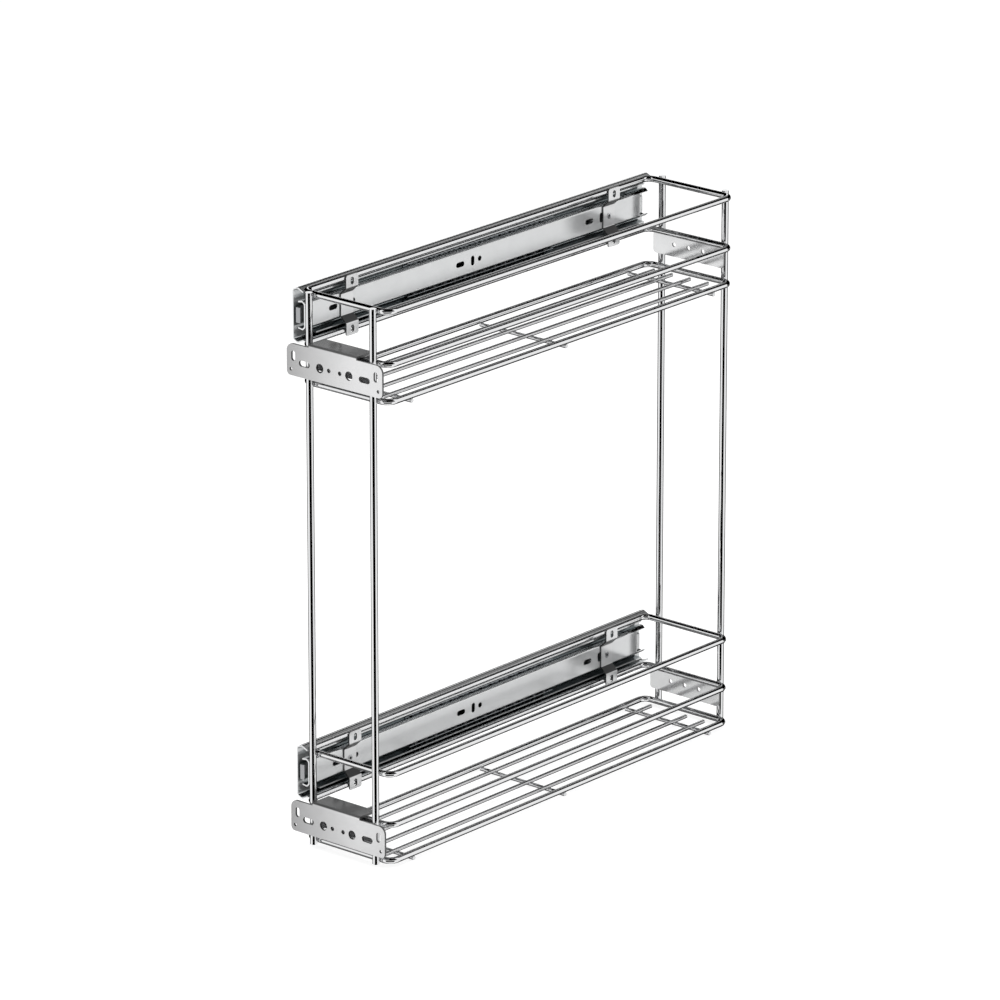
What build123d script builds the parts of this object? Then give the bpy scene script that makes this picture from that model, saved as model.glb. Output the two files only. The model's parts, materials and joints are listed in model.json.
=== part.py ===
from build123d import *
import os
from math import cos, radians, tan

# Pull-out bottle rack for a narrow base cabinet: two wire baskets on two ball-bearing slides.
# Millimetres. X = 0 is the cabinet's side wall and +X points away from it, -Y is the cabinet's
# open front and +Z is up. The origin is the middle of the four cabinet screw holes.

# Wire frame
basket_width = 93.0  # between the centres of the side wires
basket_pitch = 402.0  # from one basket and its slide to the other
top_to_middle = 45.0  # between the centres of a basket's top and middle loops
middle_to_tray = 32.0  # between the centres of its middle and tray loops
loop_wire = 5.5
loop_corner = 8.0  # radius of the loop's centre line
post_wire = 6.0
post_inset = 11.5  # from a side wire's centre to a post's centre
thin_wire = 3.5
tray_rod_count = 4
tray_rod_spacing = 20.0
tray_rod_shortfall = 11.0  # from a tray rod's end to the end wire's centre
cross_rod_front = 28.0  # behind the front wire
cross_rod_rear = 24.0  # ahead of the rear wire
cross_rod_overhang = 1.2  # past the side wires' centres

# Slides, in cross-section: u is measured out from the cabinet wall, v up from the slide's centre
rail_length = 450.0
slide_height = 48.0
slide_depth = 12.7
slide_below_top = 23.5  # from the top loop's centre down to the slide's centre
slide_clearance = 0.3  # between the slide's face and the side wires
rail_setback = 4.0  # rails' front end behind the front wires
rail_reach = 10.0  # rails' rear end behind the rear wires
rail_sheet = 1.2
race_clearance = 0.2  # between a ball and the rails it runs on
ball_play = 0.05  # between a ball and its hole in the cage
cage_clearance = 0.3  # between a cage's back and the rails beside it
outer_ball = 4.6
outer_ball_u = 5.6
outer_slope = 25.0  # degrees, of the race's two flanks
outer_lip_u = 12.0
outer_bend = 2.0
outer_cage_sheet = 0.6
outer_cage_lip = 1.1  # past the balls
outer_cage_drop = 0.9  # from the balls' centres in towards the slide's centre
middle_lip_u = 11.6
middle_bend = 2.0
inner_ball = 4.0
inner_ball_gap = 0.25  # between the inner cage's bend and a ball
inner_cage_sheet = 0.5
inner_cage_lip = 0.6
inner_cage_bend = 0.6
inner_slope = 9.7  # degrees, of the inner rail's flanges
inner_tip_gap = 0.5  # between the inner cage's back and the inner rail's flanges
inner_bend = 1.4
shoulder_width = 2.5  # the sloped shoulder between the inner rail's web and flange
shoulder_drop = 2.2
ball_pitch = 13.0
cage_end = 6.0  # from a cage's end to its first ball
cage_margin = 4.0  # left between a cage and the rail ends at full travel
travel = rail_length  # full extension

# Rail ends
middle_setback = 16.0  # middle rail's channel behind the outer rail's front
middle_shortfall = 9.5  # its rear end short of the outer rail's
tongue_height = 13.2
tab_length = 6.0  # its bent front tab, out from the web's back
inner_setback = 1.5
inner_shortfall = 6.0  # inner rail's flanges short of the outer rail's rear
inner_web_shortfall = 12.5  # its web, which ends in a bent lip
lip_height = 14.0
lip_length = 4.5
stop_bend = 1.3

# Holes in the rails
screw_front = 36.0  # cabinet screw, behind the outer rail's front
screw_rear = 94.0  # the other one, ahead of its rear
screw_hole = 4.5
access_hole = 9.0
group_front = 36.0  # first slot of the inner rail's front group, behind the rail front
group_pitch = 160.0  # from its front group to its middle one
group_rear = 85.0  # first slot of its rear group, ahead of the rail rear
flat_slot_length = 10.4
flat_slot_height = 4.6
tall_slot_length = 8.6
tall_slot_width = 4.3
tall_slot_step = 16.0  # behind the group's first slot
round_hole = 4.6
round_hole_step = 25.0

# Clips and their tubular rivets
clip_sheet = 1.2
clip_width = 15.0
clip_base_inset = 0.2  # from the inner rail's shoulders
clip_crank_rise = 5.6
clip_tab_reach = 2.5  # past the further side wire's centre
clip_bend = 1.4
clip_corner = 2.0
clip_slot_length = 6.5
clip_slot_width = 3.9
rivet_shank = 4.0
rivet_play = 0.1  # between the shank and the clip's hole
rivet_bore = 2.6
rivet_flange = 5.4
rivet_flange_sheet = 0.3

# Front plates
plate_sheet = 2.0
plate_left_overhang = 9.2  # past the left side wires' centre
plate_right_overhang = 2.8
plate_above_tray = 6.5  # plate's bottom edge above the tray loop's centre
plate_above_middle = 2.0  # its shoulders above the middle loop's centre
plate_top_corner = 6.5
plate_bottom_corner = 4.0
plate_bend = 0.6
flange_depth = 20.5  # from the plate's front
flange_post_gap = 0.5  # between the flange and the left post
flange_short = 11.0  # between the flange and the right post
hole_row = 12.2  # above the plate's bottom edge
dowel_hole = 8.0
dowel_spacing = 32.0
small_hole = 3.8
small_spacing = 12.0
door_slot_length = 12.0
door_slot_height = 5.2
door_slot_inset = 19.5  # from the plate's end
adjust_slot_length = 8.7
adjust_slot_width = 4.4
adjust_slot_inset = 7.2
adjust_slot_rise = 5.0  # above the row of holes
corner_hole = 3.0
corner_hole_inset = 4.5
corner_hole_drop = 6.8  # below the row of holes

# Rear plates
rear_sheet = 1.5
rear_left_inset = 5.5  # from the left side wires' centre
rear_right_inset = 9.1
rear_above_tray = 10.8
rear_corner = 3.0
rear_hole = 4.0
rear_hole_spacing = 16.0
rear_hole_rise = 10.9  # above the plate's bottom edge

# Where things stand, front to back
rail_front_y = -(rail_length - screw_front - screw_rear) / 2 - screw_front
rail_rear_y = rail_front_y + rail_length
front_y = rail_front_y - rail_setback
rear_y = rail_rear_y - rail_reach
middle_front_y = rail_front_y + middle_setback
middle_rear_y = rail_rear_y - middle_shortfall
inner_front_y = rail_front_y + inner_setback
inner_rear_y = rail_rear_y - inner_shortfall
web_rear_y = rail_rear_y - inner_web_shortfall
screw_ys = (rail_front_y + screw_front, rail_rear_y - screw_rear)
group_front_y = rail_front_y + group_front
group_rear_y = rail_rear_y - group_rear
group_ys = (group_front_y, group_front_y + group_pitch, group_rear_y)
front_clip_y = group_front_y + tall_slot_step
rear_clip_y = group_rear_y + round_hole_step

# Side to side
left_x = slide_depth + slide_clearance + loop_wire / 2
right_x = left_x + basket_width
middle_x = (left_x + right_x) / 2

# Posts cross the outer sides of the front and rear wires
post_reach = (loop_wire + post_wire) / 2
post_xs = {"left": left_x + post_inset, "right": right_x - post_inset}
post_ys = {"front": front_y - post_reach, "rear": rear_y + post_reach}

# The two baskets, by the height of their slides
slide_zs = {"upper": basket_pitch / 2, "lower": -basket_pitch / 2}
rise_top = slide_below_top
rise_middle = rise_top - top_to_middle
rise_tray = rise_middle - middle_to_tray

# Slide section, from the outer rail inwards
half_sheet = rail_sheet / 2
outer_race = outer_ball / 2 + race_clearance + half_sheet
outer_ball_v = slide_height / 2 - half_sheet - outer_race
outer_crest_v = outer_ball_v + outer_race / cos(radians(outer_slope))
outer_web_v = outer_crest_v - (outer_ball_u - half_sheet) * tan(radians(outer_slope))
outer_lip_v = outer_crest_v - (outer_lip_u - outer_ball_u) * tan(radians(outer_slope))
outer_cage_u = rail_sheet + cage_clearance + outer_cage_sheet / 2
outer_cage_v = outer_ball_v - outer_cage_drop
middle_web_u = outer_cage_u + outer_cage_sheet / 2 + cage_clearance + half_sheet
middle_flange_v = outer_ball_v - outer_ball / 2 - race_clearance - half_sheet
inner_ball_v = middle_flange_v - half_sheet - race_clearance - inner_ball / 2
inner_cage_u = middle_web_u + half_sheet + cage_clearance + inner_cage_sheet / 2
inner_ball_u = inner_cage_u + inner_cage_bend + inner_ball_gap + inner_ball / 2
inner_tip_u = inner_cage_u + inner_cage_sheet / 2 + inner_tip_gap
inner_web_u = slide_depth - half_sheet
inner_shoulder_u = inner_web_u - shoulder_width
inner_flange_v = inner_ball_v - inner_ball / 2 - race_clearance - half_sheet
inner_tip_v = inner_flange_v - (inner_ball_u - inner_tip_u) * tan(radians(inner_slope))
inner_shoulder_v = inner_flange_v + (inner_shoulder_u - inner_ball_u) * tan(radians(inner_slope))
inner_web_v = inner_shoulder_v - shoulder_drop

# Clip section: its tabs reach past the side wires of the top and middle loops
clip_base_v = inner_web_v - clip_base_inset
clip_crank_v = clip_base_v + clip_crank_rise
clip_tab_v = max(rise_top, -rise_middle) + clip_tab_reach
clip_slot_v = (clip_crank_v + clip_tab_v) / 2

# Cages: each stays where its two rails overlap, closed and fully out
outer_cage_front_y = rail_front_y + cage_margin + travel / 4
outer_cage_rear_y = middle_rear_y - travel / 4 - cage_margin
inner_cage_front_y = middle_front_y + cage_margin + travel / 4
inner_cage_rear_y = web_rear_y - travel / 4 - cage_margin

os.makedirs("parts", exist_ok=True)


def ball_places(cage_front_y, cage_rear_y):
    """Places of one row of balls along a cage, evenly spread about its middle."""
    room = cage_rear_y - cage_front_y - 2 * cage_end
    count = int(room / ball_pitch) + 1
    first = (cage_front_y + cage_rear_y - (count - 1) * ball_pitch) / 2
    return [first + i * ball_pitch for i in range(count)]


def make_loop(name, z):
    """A closed loop of wire: one bent rectangle with round corners."""
    with BuildPart() as loop:
        with BuildLine(Plane.XY.offset(z)) as path:
            FilletPolyline(
                (left_x, front_y), (right_x, front_y), (right_x, rear_y), (left_x, rear_y),
                radius=loop_corner, close=True)
        start = path.wires()[0]
        with BuildSketch(Plane(origin=start @ 0, z_dir=start % 0)):
            Circle(loop_wire / 2)
        sweep(path=start)
    loop.part.label = name
    export_step(loop.part, f"parts/{name}.step")


def make_tray_rod(name, x, z):
    """A thin rod that runs from front to back inside the tray loop."""
    with BuildPart() as rod:
        with BuildSketch(Plane.XZ.offset(-(front_y + tray_rod_shortfall))):
            with Locations((x, z)):
                Circle(thin_wire / 2)
        extrude(amount=-(rear_y - front_y - 2 * tray_rod_shortfall))
    rod.part.label = name
    export_step(rod.part, f"parts/{name}.step")


def make_cross_rod(name, y, z):
    """A thin rod under the tray rods and the tray loop, from side to side."""
    with BuildPart() as rod:
        with BuildSketch(Plane.YZ.offset(left_x - cross_rod_overhang)):
            with Locations((y, z)):
                Circle(thin_wire / 2)
        extrude(amount=basket_width + 2 * cross_rod_overhang)
    rod.part.label = name
    export_step(rod.part, f"parts/{name}.step")


def make_post(name, x, y):
    """An upright of the frame, from the upper top loop to the lower tray loop."""
    bottom = slide_zs["lower"] + rise_tray - loop_wire / 2
    top = slide_zs["upper"] + rise_top + loop_wire / 2
    with BuildPart() as post:
        with BuildSketch(Plane.XY.offset(bottom)):
            with Locations((x, y)):
                Circle(post_wire / 2)
        extrude(amount=top - bottom)
    post.part.label = name
    export_step(post.part, f"parts/{name}.step")


def make_front_plate(name, slide_z):
    """The plate that the cabinet's front is screwed to, with a flange on the middle loop."""
    left = left_x - plate_left_overhang
    right = right_x + plate_right_overhang
    bottom = slide_z + rise_tray + plate_above_tray
    top = slide_z + rise_middle + plate_above_middle
    centre = (left + right) / 2
    back_y = post_ys["front"] - post_wire / 2
    row_z = bottom + hole_row
    flange_z = slide_z + rise_middle + loop_wire / 2 + plate_sheet / 2
    flange_left = post_xs["left"] + post_wire / 2 + flange_post_gap
    flange_right = post_xs["right"] - post_wire / 2 - flange_short
    slot_reach = (right - left) / 2 - door_slot_inset
    adjust_reach = (right - left) / 2 - adjust_slot_inset
    corner_reach = (right - left) / 2 - corner_hole_inset
    with BuildPart() as plate:
        with BuildSketch(Plane.XZ.offset(-back_y)) as face:
            with Locations((centre, (bottom + top) / 2)):
                Rectangle(right - left, top - bottom)
            fillet(face.vertices().group_by(Axis.Y)[-1], radius=plate_top_corner)
            fillet(face.vertices().group_by(Axis.Y)[0], radius=plate_bottom_corner)
        extrude(amount=plate_sheet)
        with BuildSketch(Plane.YZ.offset(flange_left)):
            with BuildLine():
                FilletPolyline(
                    (back_y - plate_sheet / 2, row_z),
                    (back_y - plate_sheet / 2, flange_z),
                    (back_y - plate_sheet + flange_depth, flange_z),
                    radius=plate_bend + plate_sheet / 2)
            trace(line_width=plate_sheet)
        extrude(amount=flange_right - flange_left)
        with BuildSketch(Plane.XZ.offset(-back_y)):
            with Locations((centre - dowel_spacing / 2, row_z), (centre + dowel_spacing / 2, row_z)):
                Circle(dowel_hole / 2)
            with Locations((centre - small_spacing / 2, row_z), (centre + small_spacing / 2, row_z)):
                Circle(small_hole / 2)
            with Locations((centre - slot_reach, row_z), (centre + slot_reach, row_z)):
                SlotOverall(door_slot_length, door_slot_height)
            adjust_z = row_z + adjust_slot_rise
            with Locations((centre - adjust_reach, adjust_z), (centre + adjust_reach, adjust_z)):
                SlotOverall(adjust_slot_length, adjust_slot_width, rotation=90)
            corner_z = row_z - corner_hole_drop
            with Locations((centre - corner_reach, corner_z), (centre + corner_reach, corner_z)):
                Circle(corner_hole / 2)
        extrude(amount=plate_sheet, mode=Mode.SUBTRACT)
    plate.part.label = name
    export_step(plate.part, f"parts/{name}.step")


def make_rear_plate(name, slide_z):
    """The small plate inside the rear posts, with a row of three holes."""
    left = left_x + rear_left_inset
    right = right_x - rear_right_inset
    bottom = slide_z + rise_tray + rear_above_tray
    top = slide_z + rise_middle - loop_wire / 2
    centre = (left + right) / 2
    row_z = bottom + rear_hole_rise
    back_y = post_ys["rear"] - post_wire / 2
    with BuildPart() as plate:
        with BuildSketch(Plane.XZ.offset(-back_y)):
            with Locations((centre, (bottom + top) / 2)):
                RectangleRounded(right - left, top - bottom, rear_corner)
            with Locations((centre - rear_hole_spacing, row_z), (centre, row_z),
                           (centre + rear_hole_spacing, row_z)):
                Circle(rear_hole / 2, mode=Mode.SUBTRACT)
        extrude(amount=rear_sheet)
    plate.part.label = name
    export_step(plate.part, f"parts/{name}.step")


def make_outer_rail(name, slide_z):
    """The cabinet member: flat on the wall, with a ball race along its top and bottom."""
    with BuildPart() as rail:
        with BuildSketch(Plane.XZ.offset(-rail_front_y)):
            with BuildLine():
                FilletPolyline(
                    (outer_lip_u, slide_z + outer_lip_v),
                    (outer_ball_u, slide_z + outer_crest_v),
                    (half_sheet, slide_z + outer_web_v),
                    (half_sheet, slide_z - outer_web_v),
                    (outer_ball_u, slide_z - outer_crest_v),
                    (outer_lip_u, slide_z - outer_lip_v),
                    radius=[outer_race, outer_bend, outer_bend, outer_race])
            trace(line_width=rail_sheet)
        extrude(amount=-rail_length)
        with BuildSketch(Plane.YZ):
            with Locations(*[(y, slide_z) for y in screw_ys]):
                Circle(screw_hole / 2)
        extrude(amount=rail_sheet, mode=Mode.SUBTRACT)
    rail.part.label = name
    export_step(rail.part, f"parts/{name}.step")


def make_middle_rail(name, slide_z):
    """The middle member, with a tongue forward of its channel that ends in a bent tab."""
    with BuildPart() as rail:
        with BuildSketch(Plane.XZ.offset(-middle_front_y)):
            with BuildLine():
                FilletPolyline(
                    (middle_lip_u, slide_z + middle_flange_v),
                    (middle_web_u, slide_z + middle_flange_v),
                    (middle_web_u, slide_z - middle_flange_v),
                    (middle_lip_u, slide_z - middle_flange_v),
                    radius=middle_bend)
            trace(line_width=rail_sheet)
        extrude(amount=middle_front_y - middle_rear_y)
        with BuildSketch(Plane.XY.offset(slide_z)):
            with BuildLine():
                FilletPolyline(
                    (middle_web_u, middle_front_y + middle_bend),
                    (middle_web_u, rail_front_y + half_sheet),
                    (middle_web_u - half_sheet + tab_length, rail_front_y + half_sheet),
                    radius=stop_bend)
            trace(line_width=rail_sheet)
        extrude(amount=tongue_height / 2, both=True)
        with BuildSketch(Plane.YZ.offset(middle_web_u)):
            with Locations(*[(y, slide_z) for y in screw_ys]):
                Circle(access_hole / 2)
        extrude(amount=rail_sheet, both=True, mode=Mode.SUBTRACT)
    rail.part.label = name
    export_step(rail.part, f"parts/{name}.step")


def make_inner_rail(name, slide_z):
    """The basket member, with three groups of holes and a bent lip at the web's rear end."""
    with BuildPart() as rail:
        with BuildSketch(Plane.XZ.offset(-inner_front_y)):
            with BuildLine():
                FilletPolyline(
                    (inner_tip_u, slide_z + inner_tip_v),
                    (inner_shoulder_u, slide_z + inner_shoulder_v),
                    (inner_web_u, slide_z + inner_web_v),
                    (inner_web_u, slide_z - inner_web_v),
                    (inner_shoulder_u, slide_z - inner_shoulder_v),
                    (inner_tip_u, slide_z - inner_tip_v),
                    radius=inner_bend)
            trace(line_width=rail_sheet)
        extrude(amount=inner_front_y - inner_rear_y)
        # The web stops short between the flanges, except for its lip
        with BuildSketch(Plane.YZ.offset(inner_shoulder_u + rail_sheet)):
            with Locations(((web_rear_y - lip_length + rail_rear_y) / 2, slide_z)):
                Rectangle(rail_rear_y - web_rear_y + lip_length, 2 * inner_web_v)
        extrude(amount=slide_depth, mode=Mode.SUBTRACT)
        with BuildSketch(Plane.XY.offset(slide_z)):
            with BuildLine():
                FilletPolyline(
                    (inner_web_u, web_rear_y - 2 * lip_length),
                    (inner_web_u, web_rear_y - half_sheet),
                    (slide_depth - lip_length, web_rear_y - half_sheet),
                    radius=stop_bend)
            trace(line_width=rail_sheet)
        extrude(amount=lip_height / 2, both=True)
        with BuildSketch(Plane.YZ.offset(inner_web_u)):
            with Locations(*[(y, slide_z) for y in group_ys]):
                SlotOverall(flat_slot_length, flat_slot_height)
            with Locations(*[(y + tall_slot_step, slide_z) for y in group_ys]):
                SlotOverall(tall_slot_length, tall_slot_width, rotation=90)
            with Locations(*[(y + round_hole_step, slide_z) for y in group_ys]):
                Circle(round_hole / 2)
        extrude(amount=rail_sheet, both=True, mode=Mode.SUBTRACT)
    rail.part.label = name
    export_step(rail.part, f"parts/{name}.step")


def make_cage(name, slide_z, section, sheet, bend, ball_u, hole, cage_front_y, cage_rear_y):
    """A channel of thin sheet whose flanges hold two rows of balls."""
    web_u, tip_u, flange_v = section
    with BuildPart() as cage:
        with BuildSketch(Plane.XZ.offset(-cage_front_y)):
            with BuildLine():
                FilletPolyline(
                    (tip_u, slide_z + flange_v), (web_u, slide_z + flange_v),
                    (web_u, slide_z - flange_v), (tip_u, slide_z - flange_v),
                    radius=bend)
            trace(line_width=sheet)
        extrude(amount=cage_front_y - cage_rear_y)
        with BuildSketch(Plane.XY.offset(slide_z)):
            with Locations(*[(ball_u, y) for y in ball_places(cage_front_y, cage_rear_y)]):
                Circle(hole / 2)
        extrude(amount=flange_v + sheet, both=True, mode=Mode.SUBTRACT)
    cage.part.label = name
    export_step(cage.part, f"parts/{name}.step")


def make_balls(name, slide_z, ball, ball_u, ball_v, cage_front_y, cage_rear_y):
    """The two rows of bearing balls of one cage."""
    ys = ball_places(cage_front_y, cage_rear_y)
    rows = [(ball_u, y, slide_z + side * ball_v) for side in (1, -1) for y in ys]
    with BuildPart() as balls:
        with Locations(*rows):
            Sphere(ball / 2)
    balls.part.label = name
    export_step(balls.part, f"parts/{name}.step")


def make_clip(name, slide_z, y):
    """A hat-shaped clip: its base lies on the inner rail, its two tabs hold the side wires."""
    base_u = slide_depth + clip_sheet / 2
    tab_u = left_x + loop_wire / 2 + clip_sheet / 2
    with BuildPart() as clip:
        with BuildSketch(Plane.XZ.offset(-y)):
            with BuildLine():
                FilletPolyline(
                    (tab_u, slide_z + clip_tab_v), (tab_u, slide_z + clip_crank_v),
                    (base_u, slide_z + clip_base_v), (base_u, slide_z - clip_base_v),
                    (tab_u, slide_z - clip_crank_v), (tab_u, slide_z - clip_tab_v),
                    radius=clip_bend)
            trace(line_width=clip_sheet)
        extrude(amount=clip_width / 2, both=True)
        tips = clip.edges().filter_by(Axis.X).group_by(Axis.Z)
        fillet(tips[0] + tips[-1], radius=clip_corner)
        with BuildSketch(Plane.YZ.offset(tab_u)):
            with Locations((y, slide_z + clip_slot_v), (y, slide_z - clip_slot_v)):
                SlotOverall(clip_slot_length, clip_slot_width, rotation=90)
        extrude(amount=clip_sheet, both=True, mode=Mode.SUBTRACT)
        with BuildSketch(Plane.YZ.offset(base_u)):
            with Locations((y, slide_z)):
                Circle(rivet_shank / 2 + rivet_play)
        extrude(amount=clip_sheet, both=True, mode=Mode.SUBTRACT)
    clip.part.label = name
    export_step(clip.part, f"parts/{name}.step")


def make_clip_rivets(name, slide_z):
    """Two tubular rivets, each through a clip and the inner rail's web."""
    web_back_u = slide_depth - rail_sheet
    clip_face_u = slide_depth + clip_sheet
    places = [(front_clip_y, slide_z), (rear_clip_y, slide_z)]
    with BuildPart() as rivets:
        with BuildSketch(Plane.YZ.offset(web_back_u - rivet_flange_sheet)):
            with Locations(*places):
                Circle(rivet_flange / 2)
        extrude(amount=rivet_flange_sheet)
        with BuildSketch(Plane.YZ.offset(web_back_u)):
            with Locations(*places):
                Circle(rivet_shank / 2)
        extrude(amount=clip_face_u - web_back_u)
        with BuildSketch(Plane.YZ.offset(clip_face_u)):
            with Locations(*places):
                Circle(rivet_flange / 2)
        extrude(amount=rivet_flange_sheet)
        with BuildSketch(Plane.YZ.offset(web_back_u - rivet_flange_sheet)):
            with Locations(*places):
                Circle(rivet_bore / 2)
        extrude(amount=clip_face_u - web_back_u + 2 * rivet_flange_sheet, mode=Mode.SUBTRACT)
    rivets.part.label = name
    export_step(rivets.part, f"parts/{name}.step")


# The frame's four posts
for end, post_y in post_ys.items():
    for side, post_x in post_xs.items():
        make_post(f"post_{end}_{side}", post_x, post_y)

# Each basket with its slide
for tier, slide_z in slide_zs.items():
    make_loop(f"{tier}_top_loop", slide_z + rise_top)
    make_loop(f"{tier}_middle_loop", slide_z + rise_middle)
    make_loop(f"{tier}_tray_loop", slide_z + rise_tray)

    # The cross rods touch the tray loop from below, and the tray rods lie on them
    cross_z = slide_z + rise_tray - (loop_wire + thin_wire) / 2
    cross_ys = (front_y + cross_rod_front, rear_y - cross_rod_rear)
    make_cross_rod(f"{tier}_cross_rod_front", cross_ys[0], cross_z)
    make_cross_rod(f"{tier}_cross_rod_middle", sum(cross_ys) / 2, cross_z)
    make_cross_rod(f"{tier}_cross_rod_rear", cross_ys[1], cross_z)
    for i in range(tray_rod_count):
        rod_x = middle_x + (i - (tray_rod_count - 1) / 2) * tray_rod_spacing
        make_tray_rod(f"{tier}_tray_rod_{i + 1}", rod_x, cross_z + thin_wire)

    make_front_plate(f"{tier}_front_plate", slide_z)
    make_rear_plate(f"{tier}_rear_plate", slide_z)

    make_outer_rail(f"{tier}_outer_rail", slide_z)
    make_middle_rail(f"{tier}_middle_rail", slide_z)
    make_inner_rail(f"{tier}_inner_rail", slide_z)
    outer_span = (outer_cage_front_y, outer_cage_rear_y)
    inner_span = (inner_cage_front_y, inner_cage_rear_y)
    outer_cage_tip_u = outer_ball_u + outer_ball / 2 + outer_cage_lip
    make_cage(f"{tier}_outer_cage", slide_z, (outer_cage_u, outer_cage_tip_u, outer_cage_v),
              outer_cage_sheet, outer_cage_sheet * 1.5, outer_ball_u,
              outer_ball + 2 * ball_play, *outer_span)
    inner_cage_tip_u = inner_ball_u + inner_ball / 2 + inner_cage_lip
    make_cage(f"{tier}_inner_cage", slide_z, (inner_cage_u, inner_cage_tip_u, inner_ball_v),
              inner_cage_sheet, inner_cage_bend, inner_ball_u,
              inner_ball + 2 * ball_play, *inner_span)
    make_balls(f"{tier}_outer_balls", slide_z, outer_ball, outer_ball_u, outer_ball_v, *outer_span)
    make_balls(f"{tier}_inner_balls", slide_z, inner_ball, inner_ball_u, inner_ball_v, *inner_span)

    make_clip(f"{tier}_front_clip", slide_z, front_clip_y)
    make_clip(f"{tier}_rear_clip", slide_z, rear_clip_y)
    make_clip_rivets(f"{tier}_clip_rivets", slide_z)
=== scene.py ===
import json
import math

import bmesh
import bpy
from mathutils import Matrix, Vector


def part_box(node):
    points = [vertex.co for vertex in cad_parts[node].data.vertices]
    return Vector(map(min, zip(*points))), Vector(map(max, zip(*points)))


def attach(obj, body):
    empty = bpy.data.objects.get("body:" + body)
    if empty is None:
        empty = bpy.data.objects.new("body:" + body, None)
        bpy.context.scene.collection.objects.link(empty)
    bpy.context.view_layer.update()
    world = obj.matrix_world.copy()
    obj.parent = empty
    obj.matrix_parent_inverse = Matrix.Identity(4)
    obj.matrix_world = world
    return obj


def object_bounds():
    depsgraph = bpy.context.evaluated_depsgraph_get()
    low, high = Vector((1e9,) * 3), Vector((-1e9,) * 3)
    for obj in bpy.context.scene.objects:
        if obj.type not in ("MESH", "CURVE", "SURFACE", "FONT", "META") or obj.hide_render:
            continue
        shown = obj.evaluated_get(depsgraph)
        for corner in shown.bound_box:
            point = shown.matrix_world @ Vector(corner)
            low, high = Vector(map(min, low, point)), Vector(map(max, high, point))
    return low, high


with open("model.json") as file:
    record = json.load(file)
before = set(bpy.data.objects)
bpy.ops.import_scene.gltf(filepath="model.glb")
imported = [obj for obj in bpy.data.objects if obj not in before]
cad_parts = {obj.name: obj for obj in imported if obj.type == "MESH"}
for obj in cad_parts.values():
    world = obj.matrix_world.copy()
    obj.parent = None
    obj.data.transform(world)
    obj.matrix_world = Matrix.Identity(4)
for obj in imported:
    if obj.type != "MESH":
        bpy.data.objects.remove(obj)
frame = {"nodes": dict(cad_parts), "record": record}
nodes = frame["nodes"]
cad_lo, cad_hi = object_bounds()

# Lengths are in metres and angles in degrees, unless a name says otherwise.
# Azimuth 0 is the front (-Y) and 90 the right (+X).

# Camera: a long lens from the front right, tilted down
AIM = Vector((0.060, 0.020, -0.015))
AZIMUTH = 40.687
ELEVATION = 18.638
DISTANCE = 6.1063
SHIFT_RIGHT = -0.01543
SHIFT_UP = 0.01152
LENS_MM = 258.76
SENSOR_MM = 36.0
CLIP_NEAR = 0.1
CLIP_FAR = 200.0

# Stage
WORLD_LIGHT = 0.55
FLOOR_SIZE = 40.0
FLOOR_GREY = 0.45
FLOOR_GLOW = 0.76  # for the camera alone, so that the lit floor looks white
DOME_RADIUS = 3.0
PATCH_RADIUS = DOME_RADIUS - 0.1  # in front of the other cards
CARD_STEPS = 12
LAMPS = (
    # name, azimuth, elevation, distance, size, watts
    ("lamp_top", 20, 78, 2.6, 2.2, 42),
    ("lamp_right", 95, 30, 2.8, 1.6, 16),
    ("lamp_left", 315, 25, 2.8, 1.6, 22),
)
CARDS = (
    # The metal mirrors these patches of a dome round the object, and white between them.
    # name, azimuths, elevations, grey, radius
    ("card_back", (146, 292), (-6, 62), 0.0, DOME_RADIUS),
    ("card_left_high", (292, 330), (27, 62), 0.0, DOME_RADIUS),
    ("card_rail_top", (183, 201), (36, 50), 0.25, PATCH_RADIUS),
    ("card_back_low", (207, 292), (-34, -6), 0.0, DOME_RADIUS),
    ("card_front_high", (-5, 105), (10, 90), 0.0, DOME_RADIUS),
    ("card_zenith", (105, 355), (61, 90), 0.05, DOME_RADIUS),
    ("card_flat_tops", (213, 229), (11, 26), 1.0, PATCH_RADIUS),
    ("card_camera", (4, 78), (-44, -2), 0.0, DOME_RADIUS),
    ("card_right_rim", (149, 207), (-27, -8), 0.04, DOME_RADIUS),
    ("card_low_back", (146, 215), (-75, -29), 0.01, DOME_RADIUS),
    ("card_low_left", (215, 330), (-80, -26), 0.14, DOME_RADIUS),
)

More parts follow.
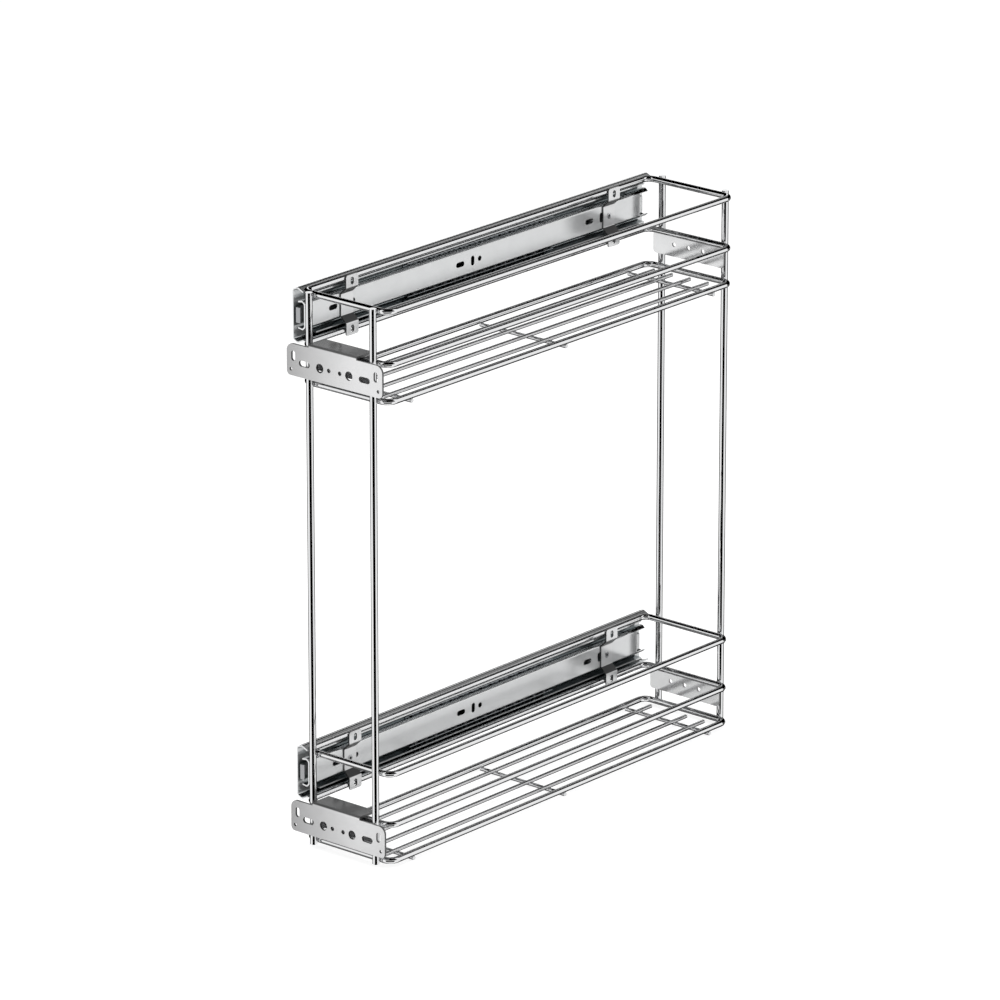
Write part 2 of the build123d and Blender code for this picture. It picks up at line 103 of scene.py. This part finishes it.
# Finishes of the metal
SATIN_METAL = 0.62  # how metallic satin sheet is, which scatters a part of the light
REAR_METAL = 0.74  # the same of the rear plates, which are brighter
LINE_DETAIL = 4.0  # of the noises, as octaves
CLOUD_SCALE = 90.0
CLOUD_DETAIL = 3.0
NOISE_LOW = 0.3  # between these two lies nearly all of a noise
NOISE_HIGH = 0.7
SMOOTHEST = 0.02
FINISHES = {
    # name, colour, roughness, scale of its lines along X, Y and Z, their depth,
    # how much the roughness varies and how much the colour does
    "chrome_wire": ("chrome", (0.80, 0.803, 0.81), 0.03, (500, 500, 500), 1e-7, 0.008, 0.01),
    # The thin wires get a darker copy of the chrome, a painted shade.
    "thin_wire": ("chrome_thin_shaded", (0.70, 0.703, 0.71), 0.03, (500, 500, 500), 1e-7, 0.008, 0.01),
    "front_plate_steel": (
        "satin_nickel", (0.87, 0.87, 0.875), 0.17, (60, 2500, 2500), 5e-7, 0.03, 0.02),
    "rear_plate_steel": (
        "bright_plate", (0.86, 0.865, 0.87), 0.13, (60, 2500, 2500), 5e-7, 0.03, 0.02),
    "clip_steel": ("clip_zinc", (0.86, 0.865, 0.87), 0.18, (2500, 60, 60), 5e-7, 0.04, 0.02),
    "rivet_steel": ("rivet_zinc", (0.60, 0.61, 0.62), 0.15, (900, 900, 900), 5e-7, 0.04, 0.03),
    "slide_steel": ("slide_zinc", (0.82, 0.83, 0.835), 0.16, (2500, 40, 2500), 5e-7, 0.03, 0.02),
    # The middle rails' finish is the slide's, with a painted shade on their front tabs
    "middle_rail_tab_shade_steel": (
        "middle_rail_zinc_tab_shade", (0.82, 0.83, 0.835), 0.16, (2500, 40, 2500), 5e-7, 0.03, 0.02),
    # The cages and balls are dark, a painted shade of the slide's inside.
    "cage_steel": ("cage_zinc", (0.36, 0.375, 0.39), 0.18, (2500, 60, 2500), 5e-7, 0.04, 0.03),
    "ball_steel": ("ball_painted_shade", (0.17, 0.17, 0.175), 0.50, (900, 900, 900), 2e-7, 0.05, 0.01),
    "weld_metal": ("weld", (0.55, 0.55, 0.56), 0.12, (900, 900, 900), 2e-6, 0.06, 0.10),
    "leaf_steel": ("leaf_zinc", (0.48, 0.485, 0.49), 0.30, (60, 900, 900), 1e-6, 0.05, 0.05),
}
FACE_LOW = 0.80  # a normal's share along the axis, from where a bend ends
FACE_HIGH = 0.97  # to where the flat face begins
PAINTED_EDGE_SHADE = (
    # finish, axis that its faces look along, tint of the painted shade on its edges and bends,
    # how metallic its faces are
    ("front_plate_steel", "Y", (0.12, 0.12, 0.12), SATIN_METAL),
    ("rear_plate_steel", "Y", (0.20, 0.20, 0.20), REAR_METAL),
    ("clip_steel", "X", (0.07, 0.07, 0.07), SATIN_METAL),
)
SHEEN_END = 0.03  # from a front plate's right end, where its painted sheen is full
PAINTED_SHEEN_LEFT_TINT = (0.52, 0.52, 0.52)
# Painted shade in the slides' ball races
GROOVE_REACH = 0.009
GROOVE_SAMPLES = 6
GROOVE_SHUT = 0.30  # share of open sky deep in a groove
GROOVE_OPEN = 0.80
GROOVE_SHADE_TINT = (0.30, 0.34, 0.35)
TAB_PAINTED_SHADE_TINT = (0.48, 0.48, 0.49)  # painted shade on the middle rail's bent front tab

# Weld beads of the wire frame
TIERS = ("upper", "lower")
TRAY_RODS = 4
LOOP_BEAD_REACH = 2.4e-3
LOOP_BEAD_DEPTH = 1.1e-3
LOOP_BEAD_MARGIN = 1e-4  # between a bead's top and its wire's
SIDE_BEAD = (1.5e-3, 1.5e-3, 0.6e-3)  # where a cross rod touches the tray loop
ROD_BEAD = (1.2e-3, 1.2e-3, 0.5e-3)  # where it touches a tray rod
BEAD_WAVE = 0.09  # of a bead's size
BEAD_WAVE_X = 5.0
BEAD_WAVE_Z = 4.0
LOOP_BEAD_PHASE = (90, 17, 31)  # per metre along X, Y and Z
SIDE_BEAD_PHASE = (50, 1, 0)
ROD_BEAD_PHASE = (70, 1, 0)

# Seams where a loop's two ends are butt-welded
SEAM_INSET = 24e-3  # from the rear right post's centre
SEAM_RISE = 0.12e-3
SEAM_SINK = 0.02e-3  # of its ends in the wire
SEAM_HALF = 0.7e-3
SEAM_STEPS = 24
SEAM_PROFILE = ((-1.0, 0.0), (-0.5, 0.8), (0.0, 1.0), (0.5, 0.8), (1.0, 0.0))  # along, up

# The leaf behind each front plate
LEAF_SHEET = 1.5e-3
LEAF_GAP = 0.6e-3  # to the posts
LEAF_RISE = 7.5e-3  # above the plate's bottom edge
LEAF_CORNER = 3e-3
LEAF_CORNER_STEPS = 6


# Small helpers


def direction(azimuth, elevation):
    """Unit vector from the object towards an azimuth and an elevation."""
    turn = math.radians(azimuth)
    rise = math.radians(elevation)
    level = math.cos(rise)
    return Vector((math.sin(turn) * level, -math.cos(turn) * level, math.sin(rise)))


def link(obj):
    bpy.context.scene.collection.objects.link(obj)
    return obj


def middle(node):
    lo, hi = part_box(node)
    return (lo + hi) / 2


def node_material(name):
    """A material with an empty node tree and its output node."""
    mat = bpy.data.materials.new(name)
    mat.use_nodes = True
    tree = mat.node_tree
    tree.nodes.clear()
    out = tree.nodes.new("ShaderNodeOutputMaterial")
    return mat, tree, out


def compute(tree, operation, *terms):
    """The output of a Math node. A term is a number or another node's output."""
    node = tree.nodes.new("ShaderNodeMath")
    node.operation = operation
    for socket, term in zip(node.inputs, terms):
        if isinstance(term, bpy.types.NodeSocket):
            tree.links.new(term, socket)
        else:
            socket.default_value = term
    return node.outputs[0]


def map_range(tree, source, low, high):
    """0 below low, 1 above high."""
    ramp = tree.nodes.new("ShaderNodeMapRange")
    ramp.inputs["From Min"].default_value = low
    ramp.inputs["From Max"].default_value = high
    tree.links.new(source, ramp.inputs["Value"])
    return ramp.outputs[0]


# Stage


def make_camera():
    data = bpy.data.cameras.new("camera")
    data.lens = LENS_MM
    data.sensor_width = SENSOR_MM
    data.clip_start = CLIP_NEAR
    data.clip_end = CLIP_FAR
    cam = link(bpy.data.objects.new("camera", data))
    forward = -direction(AZIMUTH, ELEVATION)
    right = direction(AZIMUTH + 90.0, 0.0)
    up = right.cross(forward)
    cam.location = AIM - forward * DISTANCE + right * SHIFT_RIGHT + up * SHIFT_UP
    cam.rotation_mode = "QUATERNION"
    cam.rotation_quaternion = forward.to_track_quat("-Z", "Y")
    bpy.context.scene.camera = cam


def make_world():
    """White to the camera, in the metal and through glass, and a plain light elsewhere."""
    world = bpy.data.worlds.new("studio")
    bpy.context.scene.world = world
    world.use_nodes = True
    tree = world.node_tree
    tree.nodes.clear()
    out = tree.nodes.new("ShaderNodeOutputWorld")
    lit = tree.nodes.new("ShaderNodeBackground")
    lit.inputs["Strength"].default_value = WORLD_LIGHT
    seen = tree.nodes.new("ShaderNodeBackground")
    seen.inputs["Color"].default_value = (1.0, 1.0, 1.0, 1.0)
    rays = tree.nodes.new("ShaderNodeLightPath").outputs
    either = compute(tree, "MAXIMUM", rays["Is Camera Ray"], rays["Is Glossy Ray"])
    any_seen = compute(tree, "MAXIMUM", either, rays["Is Transmission Ray"])
    mix = tree.nodes.new("ShaderNodeMixShader")
    tree.links.new(any_seen, mix.inputs[0])
    tree.links.new(lit.outputs[0], mix.inputs[1])
    tree.links.new(seen.outputs[0], mix.inputs[2])
    tree.links.new(mix.outputs[0], out.inputs["Surface"])


def make_floor():
    """A floor that looks white, keeps the object's shadow and isn't mirrored in the metal."""
    mat, tree, out = node_material("floor_white")
    paper = tree.nodes.new("ShaderNodeBsdfDiffuse")
    paper.inputs["Color"].default_value = (FLOOR_GREY, FLOOR_GREY, FLOOR_GREY, 1.0)
    rays = tree.nodes.new("ShaderNodeLightPath").outputs
    glow = tree.nodes.new("ShaderNodeEmission")
    level = compute(tree, "MULTIPLY", rays["Is Camera Ray"], FLOOR_GLOW)
    tree.links.new(level, glow.inputs["Strength"])
    both = tree.nodes.new("ShaderNodeAddShader")
    tree.links.new(paper.outputs[0], both.inputs[0])
    tree.links.new(glow.outputs[0], both.inputs[1])
    tree.links.new(both.outputs[0], out.inputs["Surface"])
    mesh = bpy.data.meshes.new("floor")
    half = FLOOR_SIZE / 2
    ground = cad_lo.z
    corners = [(-half, -half), (half, -half), (half, half), (-half, half)]
    mesh.from_pydata([(x, y, ground) for x, y in corners], [], [(0, 1, 2, 3)])
    mesh.materials.append(mat)
    floor = link(bpy.data.objects.new("floor", mesh))
    floor.visible_glossy = False


def make_lamp(name, azimuth, elevation, distance, size, watts):
    """A soft square lamp that faces the object. The metal mirrors the cards, not the lamps."""
    data = bpy.data.lights.new(name, "AREA")
    data.shape = "SQUARE"
    data.size = size
    data.energy = watts
    lamp = link(bpy.data.objects.new(name, data))
    outward = direction(azimuth, elevation)
    lamp.location = AIM + outward * distance
    lamp.rotation_mode = "QUATERNION"
    lamp.rotation_quaternion = (-outward).to_track_quat("-Z", "Y")
    lamp.visible_camera = False
    lamp.visible_glossy = False


def make_card(name, azimuths, elevations, grey, radius):
    """A curved studio card round the object, seen only in the metal."""
    mat, tree, out = node_material(name)
    glow = tree.nodes.new("ShaderNodeEmission")
    glow.inputs["Color"].default_value = (grey, grey, grey, 1.0)
    tree.links.new(glow.outputs[0], out.inputs["Surface"])
    verts = []
    for row in range(CARD_STEPS + 1):
        elevation = elevations[0] + (elevations[1] - elevations[0]) * row / CARD_STEPS
        for column in range(CARD_STEPS + 1):
            azimuth = azimuths[0] + (azimuths[1] - azimuths[0]) * column / CARD_STEPS
            verts.append(AIM + direction(azimuth, elevation) * radius)
    width = CARD_STEPS + 1
    faces = []
    for row in range(CARD_STEPS):
        for column in range(CARD_STEPS):
            first = row * width + column
            faces.append((first, first + 1, first + width + 1, first + width))
    mesh = bpy.data.meshes.new(name)
    mesh.from_pydata(verts, [], faces)
    mesh.materials.append(mat)
    card = link(bpy.data.objects.new(name, mesh))
    card.visible_camera = False
    card.visible_diffuse = False
    card.visible_shadow = False
    card.visible_transmission = False


# Materials


def steel(name, color, roughness, grain, grain_depth, spread, mottle):
    """Bare or plated metal, with fine lines in its relief and gloss and faint clouds of tint."""
    mat, tree, out = node_material(name)
    new = tree.nodes.new
    tie = tree.links.new
    shader = new("ShaderNodeBsdfPrincipled")
    shader.inputs["Metallic"].default_value = 1.0
    place = new("ShaderNodeTexCoord")
    stretch = new("ShaderNodeMapping")
    stretch.inputs["Scale"].default_value = grain
    lines = new("ShaderNodeTexNoise")
    lines.inputs["Scale"].default_value = 1.0
    lines.inputs["Detail"].default_value = LINE_DETAIL
    clouds = new("ShaderNodeTexNoise")
    clouds.inputs["Scale"].default_value = CLOUD_SCALE
    clouds.inputs["Detail"].default_value = CLOUD_DETAIL
    shine = new("ShaderNodeMapRange")
    shine.inputs["From Min"].default_value = NOISE_LOW
    shine.inputs["From Max"].default_value = NOISE_HIGH
    shine.inputs["To Min"].default_value = max(roughness - spread, SMOOTHEST)
    shine.inputs["To Max"].default_value = roughness + spread
    tint = new("ShaderNodeValToRGB")
    dark, light = tint.color_ramp.elements
    dark.position = NOISE_LOW
    dark.color = (*[c * (1.0 - mottle) for c in color], 1.0)
    light.position = NOISE_HIGH
    light.color = (*[min(c * (1.0 + mottle), 1.0) for c in color], 1.0)
    relief = new("ShaderNodeBump")
    relief.inputs["Strength"].default_value = 1.0
    relief.inputs["Distance"].default_value = grain_depth
    tie(place.outputs["Object"], stretch.inputs["Vector"])
    tie(stretch.outputs[0], lines.inputs["Vector"])
    tie(place.outputs["Object"], clouds.inputs["Vector"])
    tie(clouds.outputs["Fac"], tint.inputs[0])
    tie(tint.outputs[0], shader.inputs["Base Color"])
    tie(lines.outputs["Fac"], shine.inputs["Value"])
    tie(shine.outputs[0], shader.inputs["Roughness"])
    tie(lines.outputs["Fac"], relief.inputs["Height"])
    tie(relief.outputs[0], shader.inputs["Normal"])
    tie(shader.outputs[0], out.inputs["Surface"])
    return mat


def principled(mat):
    return next(node for node in mat.node_tree.nodes if node.type == "BSDF_PRINCIPLED")


def tint_by(mat, mask, color):
    """Multiplies the base colour by a colour where the mask is 1."""
    tree = mat.node_tree
    base = principled(mat).inputs["Base Color"]
    source = base.links[0].from_socket
    mix = tree.nodes.new("ShaderNodeMix")
    mix.data_type = "RGBA"
    mix.blend_type = "MULTIPLY"
    first, second = [socket for socket in mix.inputs if socket.type == "RGBA"]
    second.default_value = (*color, 1.0)
    tree.links.new(mask, mix.inputs["Factor"])
    tree.links.new(source, first)
    tree.links.new(next(socket for socket in mix.outputs if socket.type == "RGBA"), base)


def face_mask(mat, axis):
    """1 on the faces that look along the axis, either way, and 0 on edges and bends."""
    tree = mat.node_tree
    place = tree.nodes.new("ShaderNodeTexCoord")
    split = tree.nodes.new("ShaderNodeSeparateXYZ")
    tree.links.new(place.outputs["Normal"], split.inputs[0])
    along = compute(tree, "ABSOLUTE", split.outputs[axis])
    return map_range(tree, along, FACE_LOW, FACE_HIGH)


def metal_by(mat, mask, off, on):
    """How metallic the finish is where the mask is 0 and where it is 1. The rest is dull."""
    level = compute(mat.node_tree, "MULTIPLY_ADD", mask, on - off, off)
    mat.node_tree.links.new(level, principled(mat).inputs["Metallic"])


def paint_edge_shade(mat, axis, color, metal):
    """Painted shade and dark reflection: the sheet's cut edges, bends and the sides that don't
    look along the axis are painted dark and dull, unlike its faces, which look along the axis."""
    face = face_mask(mat, axis)
    tint_by(mat, compute(mat.node_tree, "SUBTRACT", 1.0, face), color)
    metal_by(mat, face, 0.0, metal)


def paint_sheen_fade_left(mat, low_x, high_x, color):
    """A painted reflection: a satin sheen painted into the base colour, falling off towards the
    left end.
    """
    tree = mat.node_tree
    place = tree.nodes.new("ShaderNodeTexCoord")
    split = tree.nodes.new("ShaderNodeSeparateXYZ")
    tree.links.new(place.outputs["Object"], split.inputs[0])
    right = map_range(tree, split.outputs["X"], low_x, high_x)
    tint_by(mat, compute(tree, "SUBTRACT", 1.0, right), color)


def paint_groove_shade(mat):
    """Painted shade deep inside the ball races, where little open sky reaches them."""
    tree = mat.node_tree
    sky = tree.nodes.new("ShaderNodeAmbientOcclusion")
    sky.inputs["Distance"].default_value = GROOVE_REACH
    sky.samples = GROOVE_SAMPLES
    open_part = map_range(tree, sky.outputs["AO"], GROOVE_SHUT, GROOVE_OPEN)
    tint_by(mat, compute(tree, "SUBTRACT", 1.0, open_part), GROOVE_SHADE_TINT)


# Pieces of the scene


def finish_piece(name, form, finish, body="basket", smooth=True):
    """Makes a scene piece of a form, gives it its finish and lets it move with its body."""
    mesh = bpy.data.meshes.new(name)
    form.to_mesh(mesh)
    form.free()
    for face in mesh.polygons:
        face.use_smooth = smooth
    mesh.materials.append(materials[finish])
    piece = link(bpy.data.objects.new(name, mesh))
    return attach(piece, body)


def phase_at(x, y, z, weights):
    """Where a bead's wave starts, so that the beads differ."""
    return x * weights[0] + y * weights[1] + z * weights[2]


def add_bead(form, place, radii, phase):
    """A small uneven bead of weld metal."""
    for vert in bmesh.ops.create_icosphere(form, subdivisions=2, radius=1.0)["verts"]:
        x, y, z = vert.co
        ripple = math.sin(BEAD_WAVE_X * x + phase) * math.cos(BEAD_WAVE_Z * z - 2.0 * phase)
        size = 1.0 + BEAD_WAVE * ripple
        vert.co = place + Vector((x * radii[0], y * radii[1], z * radii[2])) * size


def add_seam(form, place, wire):
    """The slightly raised ring round a wire that runs along X."""
    rings = []
    for along, up in SEAM_PROFILE:
        radius = wire / 2 - SEAM_SINK + SEAM_RISE * up
        ring = []
        for step in range(SEAM_STEPS):
            turn = 2 * math.pi * step / SEAM_STEPS
            offset = Vector((along * SEAM_HALF, radius * math.cos(turn), radius * math.sin(turn)))
            ring.append(form.verts.new(place + offset))
        rings.append(ring)
    for first, second in zip(rings, rings[1:]):
        for step in range(SEAM_STEPS):
            after = (step + 1) % SEAM_STEPS
            form.faces.new((first[step], first[after], second[after], second[step]))


def add_loop_welds(beads, seams, tier):
    """Beads between the loops and the posts, and the loops' own seams."""
    for level in ("top", "middle", "tray"):
        lo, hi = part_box(f"{tier}_{level}_loop")
        wire = hi.z - lo.z
        z = (lo.z + hi.z) / 2
        reach = min(LOOP_BEAD_REACH, wire / 2 - LOOP_BEAD_MARGIN)
        for end, y in (("front", lo.y), ("rear", hi.y)):
            for side in ("left", "right"):
                post = middle(f"post_{end}_{side}")
                phase = phase_at(post.x, post.y, z, LOOP_BEAD_PHASE)
                add_bead(beads, Vector((post.x, y, z)), (reach, LOOP_BEAD_DEPTH, reach), phase)
        x = middle("post_rear_right").x - SEAM_INSET
        add_seam(seams, Vector((x, hi.y - wire / 2, z)), wire)
    # The top loop's seam stays inside the CAD box.
    for vert in seams.verts:
        vert.co.z = min(vert.co.z, cad_hi.z)


def add_rod_welds(beads, tier):
    """Beads where the cross rods touch the tray loop and the tray rods."""
    loop_lo, loop_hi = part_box(f"{tier}_tray_loop")
    half_wire = (loop_hi.z - loop_lo.z) / 2
    side_wires = (loop_lo.x + half_wire, loop_hi.x - half_wire)
    tray_rods = [middle(f"{tier}_tray_rod_{number + 1}").x for number in range(TRAY_RODS)]
    for rod in ("front", "middle", "rear"):
        lo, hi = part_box(f"{tier}_cross_rod_{rod}")
        y = (lo.y + hi.y) / 2
        top = hi.z
        for x in side_wires:
            phase = phase_at(x, y, top, SIDE_BEAD_PHASE)
            add_bead(beads, Vector((x, y, top)), SIDE_BEAD, phase)
        for x in tray_rods:
            phase = phase_at(x, y, top, ROD_BEAD_PHASE)
            add_bead(beads, Vector((x, y, top)), ROD_BEAD, phase)


def add_welds(tier):
    beads = bmesh.new()
    seams = bmesh.new()
    add_loop_welds(beads, seams, tier)
    add_rod_welds(beads, tier)
    finish_piece(f"{tier}_weld_beads", beads, "weld_metal")
    finish_piece(f"{tier}_loop_seams", seams, "weld_metal")


def add_backing_leaf(tier):
    """A dull leaf of sheet behind the front plate, from post to post, seen through its holes."""
    plate_lo, plate_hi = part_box(f"{tier}_front_plate")
    wire_lo, wire_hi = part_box(f"{tier}_middle_loop")
    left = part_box("post_front_left")[1].x + LEAF_GAP
    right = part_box("post_front_right")[0].x - LEAF_GAP
    back = wire_lo.y
    front = back - LEAF_SHEET
    top = wire_hi.z
    bottom = plate_lo.z + LEAF_RISE
    turns = [math.radians(90 / LEAF_CORNER_STEPS * step) for step in range(LEAF_CORNER_STEPS + 1)]
    radius = LEAF_CORNER
    outline = [(left, top), (right, top)]
    for turn in turns:
        x = right - radius + radius * math.cos(turn)
        outline.append((x, bottom + radius - radius * math.sin(turn)))
    for turn in turns:
        x = left + radius - radius * math.sin(turn)
        outline.append((x, bottom + radius - radius * math.cos(turn)))
    form = bmesh.new()
    near = [form.verts.new((x, front, z)) for x, z in outline]
    far = [form.verts.new((x, back, z)) for x, z in outline]
    form.faces.new(near)
    form.faces.new(far[::-1])
    for step in range(len(outline)):
        after = (step + 1) % len(outline)
        form.faces.new((near[after], near[step], far[step], far[after]))
    bmesh.ops.recalc_face_normals(form, faces=form.faces)
    finish_piece(f"{tier}_backing_leaf", form, "leaf_steel", smooth=False)


# Finishes on the parts

materials = {slot: steel(*finish) for slot, finish in FINISHES.items()}
plate_lo, plate_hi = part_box("upper_front_plate")
# Painted reflection: the front plates' sheen falls off towards the left
paint_sheen_fade_left(materials["front_plate_steel"], plate_lo.x, plate_hi.x - SHEEN_END, PAINTED_SHEEN_LEFT_TINT)
# Painted shade on the edges, bends and other sides of the plates and clips
for finish, axis, tint, metal in PAINTED_EDGE_SHADE:
    paint_edge_shade(materials[finish], axis, tint, metal)
# The slides' faces along X are satin; their grooves get a painted shade.
for finish in ("slide_steel", "middle_rail_tab_shade_steel"):
    rail = materials[finish]
    metal_by(rail, face_mask(rail, "X"), 1.0, SATIN_METAL)
    paint_groove_shade(rail)
# Painted shade on the middle rails' faces that look along Y, their bent front tabs
middle_rail = materials["middle_rail_tab_shade_steel"]
tint_by(middle_rail, face_mask(middle_rail, "Y"), TAB_PAINTED_SHADE_TINT)

for part in frame["record"]["subparts"]:
    finish = part["material_slot"]
    if part["node"].endswith("_middle_rail"):
        finish = "middle_rail_tab_shade_steel"
    for slot in nodes[part["node"]].material_slots:
        slot.material = materials[finish]

# The scene

bpy.context.scene.view_settings.view_transform = "Standard"
make_camera()
make_world()
make_floor()
for lamp in LAMPS:
    make_lamp(*lamp)
for card in CARDS:
    make_card(*card)
for tier in TIERS:
    add_backing_leaf(tier)
for tier in TIERS:
    add_welds(tier)
